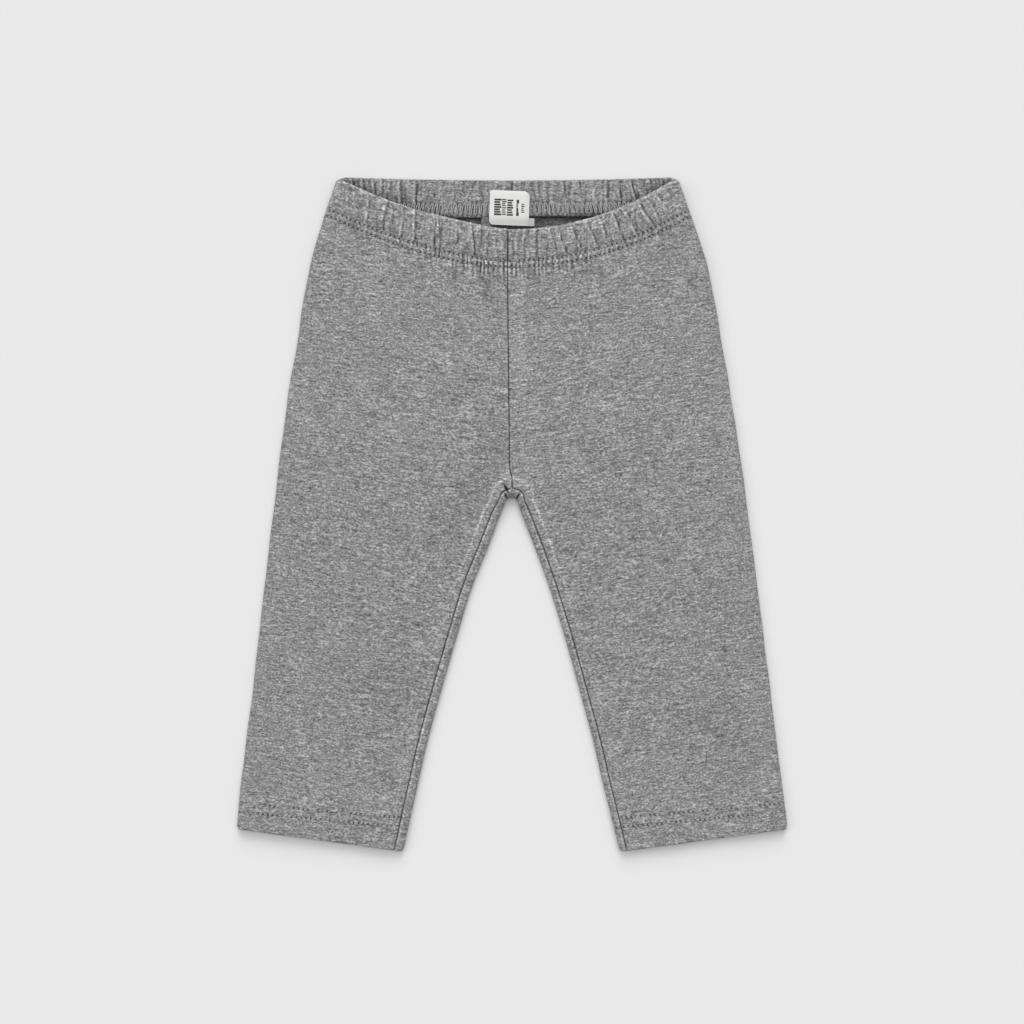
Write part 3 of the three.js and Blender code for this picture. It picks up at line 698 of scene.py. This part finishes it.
# %% Hem allowances
def hem_ring(name, side):
    """Every second row of the leg up to the hem's depth, moved inwards by the cloth's thickness."""
    rows, v = side["leg_rows"], side["leg_v"]
    last = int(np.argmin(np.abs(v - HEM_DEPTH)))
    used = slice(HEM_STEPS, last + 1, 2)
    part = rows[used, :, :3]
    across = np.gradient(part, axis=1)
    along = np.gradient(part, axis=0)
    normal = side["sign"] * np.cross(across, along)
    normal /= np.linalg.norm(normal, axis=2, keepdims=True)
    inside = part - normal * (JERSEY + 0.05)
    flat = np.broadcast_arrays(side["sign"] * side["leg_u"][used], -v[used, None])
    flat = np.stack(flat, 2)
    return lay_grid(name, inside, flat, side["sign"] > 0, thick=0.6)


for word, side in SIDES.items():
    pieces[f"hem_{word}"] = hem_ring(f"jersey_hem_{word}", side)

# %% [markdown]
# ## Sewing threads
# Two needle threads hold the casing and the hems: each runs along the face and dips into the cloth
# at every hole. Inside the back casing the looper thread of the cover stitch climbs up and down
# like a ladder. An overlock thread shows as fine ribs beside each inseam. Every thread is a grid
# rolled round a path that is laid on the cloth.

# %% Helpers for threads
def on_cloth(places, row, column, sign, lift):
    """Points over a laid grid at fractional rows and columns, and the cloth's normals there."""
    row, column = np.broadcast_arrays(np.asarray(row, float), np.asarray(column, float))

    def at(r, c):
        r = np.clip(r, 0, places.shape[0] - 1.001)
        c = np.clip(c, 0, places.shape[1] - 1.001)
        i, j = r.astype(int), c.astype(int)
        a, b = (r - i)[:, None], (c - j)[:, None]
        low = places[i, j, :3] * (1 - b) + places[i, j + 1, :3] * b
        high = places[i + 1, j, :3] * (1 - b) + places[i + 1, j + 1, :3] * b
        return low * (1 - a) + high * a

    across = at(row, column + 0.5) - at(row, column - 0.5)
    along = at(row + 0.5, column) - at(row - 0.5, column)
    normal = sign * np.cross(across, along)
    normal /= np.linalg.norm(normal, axis=1, keepdims=True)
    return at(row, column) + normal * np.asarray(lift)[:, None], normal


def thread(name, path, normal, radius=0.17, sides=6):
    """A grid rolled into a thin tube round the path."""
    ahead = np.gradient(path, axis=0)
    beside = np.cross(ahead, normal)
    beside /= np.linalg.norm(beside, axis=1, keepdims=True)
    above = np.cross(beside, ahead)
    above /= np.linalg.norm(above, axis=1, keepdims=True)
    swing = np.linspace(0, 2 * math.pi, sides + 1)
    cos, sin = np.cos(swing)[None, :, None], np.sin(swing)[None, :, None]
    places = path[:, None] + radius * (cos * beside[:, None] + sin * above[:, None])
    long = np.arange(len(path))[:, None] * 0.4
    flat = np.stack(np.broadcast_arrays(swing[None, :] * radius, long), 2)
    return lay_grid(name, places, flat, False, thick=None)


# %% Rows of stitches
def needle_row(name, places, row, u, sign, skip=1.5):
    """A straight row: the thread is on top between holes and dips in at each hole."""
    far = np.arange(skip, u[-1] - skip, STITCH / 7)
    beat = (far / STITCH - 0.5) % 1
    lift = 0.16 - 0.55 * np.exp(-((np.minimum(beat, 1 - beat) / 0.16) ** 2))
    column = np.interp(far, u, np.arange(len(u)))
    row = np.interp(column, np.arange(len(u)), row + np.zeros(len(u)))
    return thread(name, *on_cloth(places, row, column, sign, lift))


def outer_row(depth):
    """The row of the casing's grid that lies at this depth on its outer face."""
    return (OUTER_STEPS - 1) * ((CASING_DEPTH - depth) / FLAT_DEPTH) ** (1 / CROWDING)


def inner_row(depth):
    return OUTER_STEPS + RIM_STEPS + (depth - RIM_ROUND) / FLAT_DEPTH * (INNER_STEPS - 1)


# Depths below the rim of the casing's needle rows, and heights of the hem's over its folded edge
CASING_NEEDLES, HEM_NEEDLES = (17.7, 21.1), (14.0, 19.2)
LOOPS = 35
threads = []
for word, side in SIDES.items():
    sign, places, u = side["sign"], side["casing"], side["casing_u"]
    for k, depth in enumerate(CASING_NEEDLES):
        name = f"thread_casing_{word}_{k}"
        threads.append(needle_row(name, places, outer_row(depth), u, sign))
    leg_rows, leg_u, leg_v = side["leg_rows"], side["leg_u"], side["leg_v"]
    for k, high in enumerate(HEM_NEEDLES):
        row = np.interp(high - side["hem_lean"], leg_v, np.arange(len(leg_v)))
        name = f"thread_hem_{word}_{k}"
        threads.append(needle_row(name, leg_rows, row, leg_u[int(row[0])], sign))
    # Looper thread: one narrow loop for each stitch, from the upper to the lower needle row. Along
    # one stitch, beat is how far it has gone, fall how far down it is and rise how proud it lies
    loops = np.arange(LOOPS)
    beat = np.array([0.0, 0.05, 0.08, 0.12, 0.2, 0.32, 0.4, 0.44, 0.47, 0.52, 0.75])
    fall = np.array([0.0, 0.3, 0.62, 0.92, 1.0, 1.0, 0.92, 0.62, 0.3, 0.02, -0.06])
    rise = np.array([0.1, 0.35, 0.4, 0.3, 0.1, 0.1, 0.3, 0.4, 0.35, 0.1, 0.05])
    start = u[-1] - LOOPS * STITCH
    far = (start + (loops[:, None] + beat + 0.04 * np.sin(loops * 2.3)[:, None]) * STITCH).ravel()
    down = (13.9 + 5.7 * fall + 0.25 * np.sin(1.7 * loops)[:, None]).ravel()
    columns = np.interp(far, u, np.arange(len(u)))
    ladder = on_cloth(places, inner_row(down), columns, sign, np.tile(rise, LOOPS))
    threads.append(thread(f"thread_looper_{word}", *ladder, 0.24))
    # Ribs of the overlock thread on the strip beside the inseam
    far = np.arange(1.5, side["inner_line"][2][-1] - 2.5, 0.45)
    rows = np.interp(far, leg_v, np.arange(len(leg_v)))
    zigzag = 0.5 + 0.5 * np.sin(np.arange(len(rows)) * math.pi / 2 + 0.4)
    last = leg_rows.shape[1] - 1
    edge, normal = on_cloth(leg_rows, rows, last, sign, 0.05 + 0.12 * zigzag)
    inner, _ = on_cloth(leg_rows, rows, last - STRIP, sign, 0.1 + 0 * rows)
    inwards = inner - edge
    inwards /= np.linalg.norm(inwards, axis=1, keepdims=True)
    path = edge + inwards * (0.3 + 1.3 * zigzag)[:, None]
    threads.append(thread(f"thread_inseam_{word}", path, normal, 0.13, 5))
print(len(threads), "threads")

# %% [markdown]
# ## Label
# The woven label is a small sheet of white satin with rounded corners, sewn to the inside of the
# back casing. It lies over the gathers with a slight curl. Where the real one is printed, this one
# carries plain bars.

# %% Label and the tab below it
LABEL = dict(x=-13.0, y=163.3, width=22.4, height=19.4, turn=-0.035)


def rounded_tab(name, width, height, radii, x, y, turn, level, thick, ink_and_painted_shade=lambda x, y: 0 * x):
    """A sheet with its own corner radii, lower left first, lying at level(x, y)."""
    n = max(20, int(width * 5))
    s, t = np.meshgrid(np.linspace(0, 1, n + 1), np.linspace(0, 1, n + 1))
    px, py = s * width, t * height
    for k, (cx, cy) in enumerate(((0, 0), (1, 0), (1, 1), (0, 1))):
        r = radii[k]
        dx = np.abs(px - cx * width)
        dy = np.abs(py - cy * height)
        inside = (dx < r) & (dy < r)
        reach = np.maximum(r - dx, 1e-9), np.maximum(r - dy, 1e-9)
        longest = np.maximum(*reach)
        scale = np.where(inside, longest / np.hypot(*reach), 1.0)
        px = np.where(inside, cx * width + (1 - 2 * cx) * (r - reach[0] * scale), px)
        py = np.where(inside, cy * height + (1 - 2 * cy) * (r - reach[1] * scale), py)
    wx = x + px * math.cos(turn) - py * math.sin(turn)
    wy = y + px * math.sin(turn) + py * math.cos(turn)
    places = np.stack([wx, wy, level(px / width, py / height), ink_and_painted_shade(px, py)], 2)
    return lay_grid(name, places, np.stack([px, py], 2), True, thick=thick)


def label_level(s, t):
    """Its height over the table: s and t run from 0 to 1 across and up the label."""
    curl = 0.9 * bell(s, 0.2) * bell(t, 0.3) - 0.5 * bell(1 - s, 0.07) - 0.35 * bell(s, 0.05)
    return 4.5 + 0.12 * np.sin(9 * s + 2 * t) + curl - 1.1 * bell(t, 0.17) - 0.3 * bell(1 - t, 0.06)


# Plain bars stand for the print: columns as (left, right, lowest, highest, bar, gap) in millimetres
BARS = (
    (2.7, 6.6, 5.3, 14.8, 1.0, 0.38), (7.0, 9.5, 5.6, 14.6, 0.65, 0.55),
    (10.0, 13.3, 5.3, 14.6, 0.9, 0.45), (15.2, 16.5, 5.3, 14.4, 2.1, 0.2),
    (18.0, 19.7, 7.2, 12.6, 0.55, 0.5),
)


def plain_bars(x, y):
    # The lower edge bends down and is painted a little grey: painted shade
    ink_and_painted_shade = 0.14 * bell(y, 2.6)
    for left, right, low, high, bar, gap in BARS:
        step = (y - low) % (bar + gap)
        wide = right - 0.35 * (((y - low) // (bar + gap)) % 3)
        edge = np.minimum(np.minimum(x - left, wide - x), np.minimum(step, bar - step))
        ink_and_painted_shade = np.maximum(ink_and_painted_shade, np.clip(edge / 0.16 + 0.9, 0, 1) * (y > low) * (y < high))
    return ink_and_painted_shade


pieces["label"] = rounded_tab(
    "satin_label", LABEL["width"], LABEL["height"], (2.4, 1.0, 3.6, 1.4),
    LABEL["x"], LABEL["y"], LABEL["turn"], label_level, 0.35, plain_bars,
)
pieces["label_tab"] = rounded_tab(
    "satin_tab", 10.2, 4.4, (0.4, 0.4, 0.4, 0.4), 2.4, 162.5, 0.0,
    lambda s, t: 3.1 - 0.3 * (1 - t), 0.35,
)

# The end of the centre back seam's allowance, turned to one side, shows beside the label
# Its darkness is painted shade: darker at its lower edge, lighter towards the right
seam_flap = rounded_tab(
    "jersey_seam_allowance", 6.5, 6.0, (1.0, 0.5, 0.5, 1.6), -17.6, 161.6, -0.05,
    lambda s, t: 2.6 - 0.5 * s + 0.3 * t, 0.8, lambda x, y: -0.45 + 0.06 * x - 0.3 * bell(y, 1.5),
)

# %% [markdown]
# ## Materials
# The cloth is grey melange jersey: white and dark fibres are blended before spinning, so each yarn
# changes tone along its length. The eye sees short wandering flecks along the knitted courses, over
# a fine grain, with a soft bloom of loose fibre. Colours are sRGB hex values.

# %% Material helpers
def linear(hex_colour):
    parts = [int(hex_colour[i : i + 2], 16) / 255 for i in (1, 3, 5)]
    return (*(p / 12.92 if p <= 0.04045 else ((p + 0.055) / 1.055) ** 2.4 for p in parts), 1.0)


def add(tree, kind, inputs=None, **settings):
    """Adds a shader node: settings are its options, inputs are values or sockets to link."""
    made = tree.nodes.new("ShaderNode" + kind)
    for option, value in settings.items():
        setattr(made, option, value)
    for socket, value in (inputs or {}).items():
        if isinstance(value, bpy.types.NodeSocket):
            tree.links.new(value, made.inputs[socket])
        else:
            made.inputs[socket].default_value = value
    return made


def new_material(name, roughness, specular=0.25, sheen=0.0):
    material = bpy.data.materials.new(name)
    material.use_nodes = True
    surface = material.node_tree.nodes["Principled BSDF"]
    surface.inputs["Roughness"].default_value = roughness
    surface.inputs["Specular IOR Level"].default_value = specular
    surface.inputs["Sheen Weight"].default_value = sheen
    surface.inputs["Sheen Roughness"].default_value = 0.6
    return material, material.node_tree, surface


# %% Jersey
def jersey(name, hole_rows, seed, bright=1.0, patch=(0.3, 0.5)):
    """Melange jersey. hole_rows are the UV heights, in millimetres, of its rows of needle holes."""
    material, tree, surface = new_material(name, roughness=0.92, specular=0.2, sheen=0.15)

    def maths(operation, *values, kind="Math"):
        return add(tree, kind, dict(enumerate(values)), operation=operation).outputs[0]

    def vector(operation, *values):
        return maths(operation, *values, kind="VectorMath")

    def noise(at, scale, detail, roughness=0.5):
        inputs = {"Vector": at, "Scale": scale, "Detail": detail, "Roughness": roughness}
        return add(tree, "TexNoise", inputs).outputs

    def between(value, low, high):
        return add(tree, "MapRange", {"Value": value, "From Min": low, "From Max": high}).outputs[0]

    uv = add(tree, "UVMap", uv_map="UVMap").outputs["UV"]
    mm = add(tree, "VectorMath", {0: uv, "Scale": 1000.0}, operation="SCALE").outputs[0]
    mm = vector("ADD", mm, (seed * 37.0, seed * 53.0, 0))
    # Height is the third coordinate, so that cut edges and tight folds aren't streaked
    place = add(tree, "TexCoord").outputs["Object"]
    mm = vector("ADD", mm, vector("MULTIPLY", place, (0, 0, 600.0)))
    # Yarns wander, so the pattern is first bent by a slow noise
    bend = vector("SUBTRACT", noise(mm, 1 / 10.0, 2.0)["Color"], (0.5, 0.5, 0.5))
    bent = vector("ADD", mm, vector("MULTIPLY", bend, (4.0, 3.8, 0)))

    def spots(per_mm, detail, roughness=0.5):
        """Noise that changes so many times a millimetre along, across and up."""
        return noise(vector("MULTIPLY", bent, per_mm), 1.0, detail, roughness)["Fac"]

    # Flecks along the courses: each is about 4 by 0.9 mm, drawn coarser than yarn so that it shows
    fleck = spots((1 / 3.6, 1 / 0.88, 0.7), 1.5, 0.6)
    # Grain of single stitches, about 1 mm
    grain = spots((1 / 1.15, 1 / 0.8, 1), 1.0)
    # Longer streaks, about 10 by 1.3 mm, where one yarn is lighter or darker for a while
    streak = spots((1 / 10.0, 1 / 1.25, 0.3), 1.0)
    cloud = noise(mm, 1 / 14.0, 2.0)["Fac"]
    # Single pale fibres lie on the face as thin curved lines: the level line of a stretched noise
    wander = maths("ABSOLUTE", maths("SUBTRACT", spots((1 / 5.0, 1 / 1.7, 0.5), 0.5), 0.5))
    fibre = between(wander, 0.05, 0.012)
    tone = -0.010
    for part, share in ((fleck, 0.36), (grain, 0.60), (streak, 0.23), (cloud, 0.05), (fibre, 0.07)):
        tone = maths("MULTIPLY_ADD", part, share, tone)
    ramp = add(tree, "ValToRGB", {"Fac": tone})
    ramp.color_ramp.elements[0].position = 0.40
    ramp.color_ramp.elements[0].color = linear("#484949")
    ramp.color_ramp.elements[1].position = 0.86
    ramp.color_ramp.elements[1].color = linear("#c9cac9")
    middle = ramp.color_ramp.elements.new(0.63)
    middle.color = linear("#888988")
    colour = ramp.outputs["Color"]
    # Needle holes: one dimple at each stitch of each row, with painted shade in it, fainter in
    # patches
    parts = add(tree, "SeparateXYZ", {0: add(tree, "UVMap", uv_map="StitchUV").outputs["UV"]})
    step = maths("FRACT", maths("DIVIDE", parts.outputs["X"], STITCH * MM))
    step = maths("MULTIPLY", maths("SUBTRACT", step, 0.5), STITCH)
    nearest = 1000.0
    for row in hole_rows:
        off = maths("MULTIPLY", maths("SUBTRACT", parts.outputs["Y"], row * MM), 1000.0)
        spot = add(tree, "CombineXYZ", {"X": step, "Y": off}).outputs[0]
        far = add(tree, "VectorMath", {0: spot}, operation="LENGTH").outputs["Value"]
        nearest = maths("MINIMUM", nearest, far)
    patchy = between(noise(mm, 1 / 5.0, 2.0)["Fac"], *patch)
    hole = maths("MULTIPLY", between(nearest, 1.0, 0.45), patchy)
    dark = {"Factor": maths("MULTIPLY", hole, 0.9), 6: colour, 7: linear("#2c2c2d")}
    colour = add(tree, "Mix", dark, data_type="RGBA").outputs[2]
    height = maths("MULTIPLY_ADD", hole, -1.2, tone)
    # Painted light: the cloth is painted darker in its creases and shaded places, and paler on the
    # crests
    painted_light_and_print = add(tree, "Attribute", attribute_name="painted_light_and_print").outputs["Fac"]
    painted_light_and_print = maths("MULTIPLY_ADD", painted_light_and_print, 0.62, bright)
    colour = add(tree, "VectorMath", {0: colour, "Scale": painted_light_and_print}, operation="SCALE").outputs[0]
    tree.links.new(colour, surface.inputs["Base Color"])
    relief = add(tree, "Bump", {"Height": height, "Strength": 0.5, "Distance": 0.35 * MM})
    tree.links.new(relief.outputs["Normal"], surface.inputs["Normal"])
    return material


# The casing's jersey is a copy of the leg's painted a little paler, a painted lightening over its
# painted shade
leg_jersey = jersey("cotton_elastane_jersey_melange", HEM_NEEDLES, 1, patch=(0.38, 0.52))
casing_jersey = jersey(
    "cotton_elastane_jersey_gathered_painted_paler", (382.3, 378.8), 2, bright=1.1, patch=(0.25, 0.42)
)


# %% Satin of the label
def woven_satin(name, base, ink_and_painted_shade):
    """Polyester satin: a fine rib of bright threads, about 0.3 mm apart, with a soft gloss."""
    material, tree, surface = new_material(name, roughness=0.45, specular=0.4)
    uv = add(tree, "UVMap", uv_map="UVMap").outputs["UV"]
    rib = add(tree, "TexWave", {"Vector": uv, "Scale": 1000 / 0.6 / 6.283, "Distortion": 0.5})
    # The label's print and its painted shade both mix in the ink colour
    print_and_painted_shade = add(tree, "Attribute", attribute_name="painted_light_and_print").outputs["Fac"]
    mixed = add(tree, "Mix", {"Factor": print_and_painted_shade, 6: linear(base), 7: linear(ink_and_painted_shade)}, data_type="RGBA")
    tree.links.new(mixed.outputs[2], surface.inputs["Base Color"])
    rib = rib.outputs["Fac"]
    relief = add(tree, "Bump", {"Height": rib, "Strength": 0.25, "Distance": 0.1 * MM})
    tree.links.new(relief.outputs["Normal"], surface.inputs["Normal"])
    return material


label_satin = woven_satin("polyester_satin_white", "#dfdfde", "#1c1c1c")
tab_satin = woven_satin("polyester_satin_pale_grey", "#bdbdbb", "#bdbdbb")


# %% Threads and finishes
def plain(name, colour, roughness, specular):
    material, _, surface = new_material(name, roughness=roughness, specular=specular)
    surface.inputs["Base Color"].default_value = linear(colour)
    return material


# Spun polyester: smoother than the cloth, so each stitch catches a small highlight
needle_thread = plain("polyester_thread_grey", "#a9aaaa", 0.6, 0.35)
# The looper's thread is fuller and paler, which makes the ladder stand out from the casing
looper_thread = plain("polyester_looper_thread_pale", "#b4b5b5", 0.6, 0.35)
finish = {
    "leg": leg_jersey,
    "casing": casing_jersey,
    "hem": leg_jersey,
    "label": label_satin,
    "label_tab": tab_satin,
}
for node, piece in pieces.items():
    piece.data.materials.clear()
    piece.data.materials.append(finish[node if node in finish else node.split("_")[0]])
seam_flap.data.materials.append(leg_jersey)
for piece in threads:
    piece.data.materials.append(looper_thread if "looper" in piece.name else needle_thread)
print(len(bpy.data.materials), "materials")

# %% [markdown]
# ## Tie the pieces to the frame
# Each piece stands for its solid and rides with the garment's one body.

# %% Ride and replace
for node, piece in pieces.items():
    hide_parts(node)
    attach(piece, "root")

for piece in (*threads, seam_flap):
    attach(piece, "root")

# %% [markdown]
# ## Table, light and camera
# The light is soft and comes from beyond the waist, so the shadow falls just below the hems. The
# camera looks straight down from about 1.4 m with a short telephoto lens.

# %% Floor
bpy.ops.object.select_all(action="DESELECT")
bpy.ops.mesh.primitive_plane_add(size=6)
floor = bpy.context.object
floor.name = "floor"
# Matte card: it shows no highlight, only the soft shadow of the cloth
floor.data.materials.append(plain("matte_paper_pale", "#e8e8e8", 1.0, 0.0))

# %% Light
world = bpy.data.worlds.new("soft_studio")
bpy.context.scene.world = world
world.use_nodes = True
world.node_tree.nodes["Background"].inputs["Color"].default_value = (1, 1, 1, 1)
world.node_tree.nodes["Background"].inputs["Strength"].default_value = 0.38


def soft_sun(name, tilt, towards, share, spread):
    """A wide far lamp: share is the part of the table's light that it gives."""
    bpy.ops.object.light_add(type="SUN", location=(0, 0, 2))
    lamp = bpy.context.object
    lamp.name = name
    lamp.rotation_euler = (math.radians(tilt), 0, math.radians(towards))
    lamp.data.energy = share * math.pi / math.cos(math.radians(tilt))
    lamp.data.angle = math.radians(spread)
    return lamp


soft_sun("lamp_overhead", 8, 180, 0.33, 75)
soft_sun("lamp_beyond_waist", 52, 180, 0.245, 38)
soft_sun("lamp_viewer_left", 50, -100, 0.06, 20)

# %% Camera
LENS, SENSOR, VIEW_WIDTH = 85.0, 36.0, 0.5773
distance = VIEW_WIDTH * LENS / SENSOR
bpy.ops.object.camera_add(location=(0, 0.00169, distance), rotation=(0, 0, 0))
camera = bpy.context.object
camera.data.lens = LENS
camera.data.sensor_width = SENSOR
camera.data.clip_start = 0.01
bpy.context.scene.camera = camera
bpy.context.scene.view_settings.view_transform = "Standard"
print("camera height:", round(distance, 4), "m")
